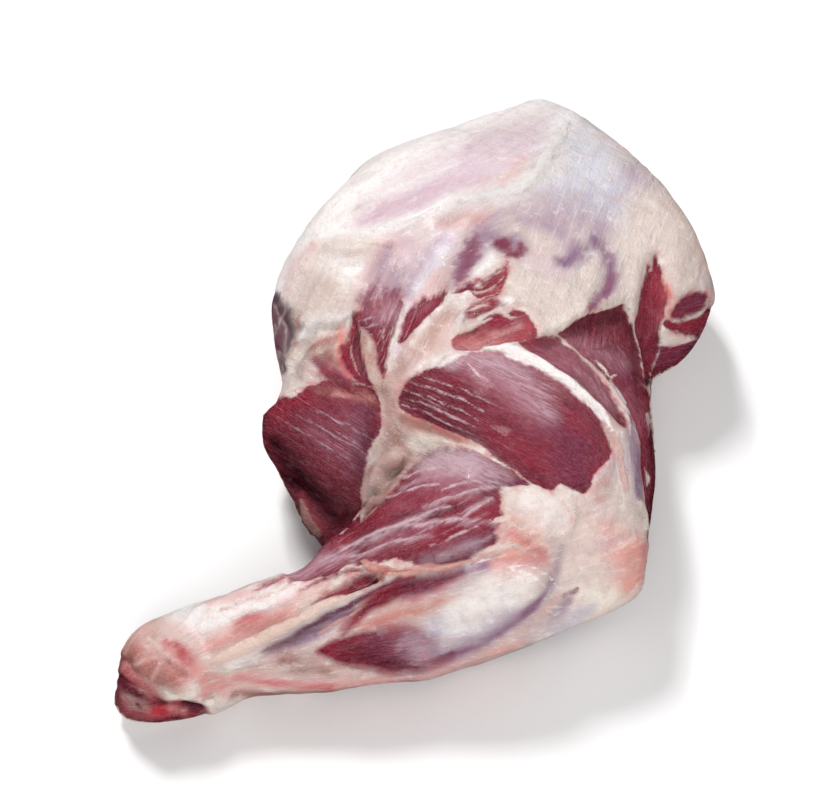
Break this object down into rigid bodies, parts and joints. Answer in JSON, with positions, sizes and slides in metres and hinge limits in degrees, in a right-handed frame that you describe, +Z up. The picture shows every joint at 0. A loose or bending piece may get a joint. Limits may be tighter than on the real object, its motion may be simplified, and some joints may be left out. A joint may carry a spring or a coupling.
{
  "type": "raw lamb shoulder",
  "caption": "Whole raw lamb shoulder, bone in, lying on its cut side with its shank bent forward, showing red muscle, white fat and fell.",
  "frame": {"origin": "middle of the bounding box's underside, on the table that the shoulder rests on", "axes": "+Z up, +Y from the elbow towards the blade end, -X towards the end of the shank"},
  "size_m": [0.2364, 0.2958, 0.0877],
  "materials": {
    "raw_lamb": "moist raw meat: dark red muscle under cream fat, lavender fell and white tendon, with a wet sheen"
  },
  "bodies": {
    "root": {"lamb_shoulder": "raw_lamb"}
  },
  "joints": []
}
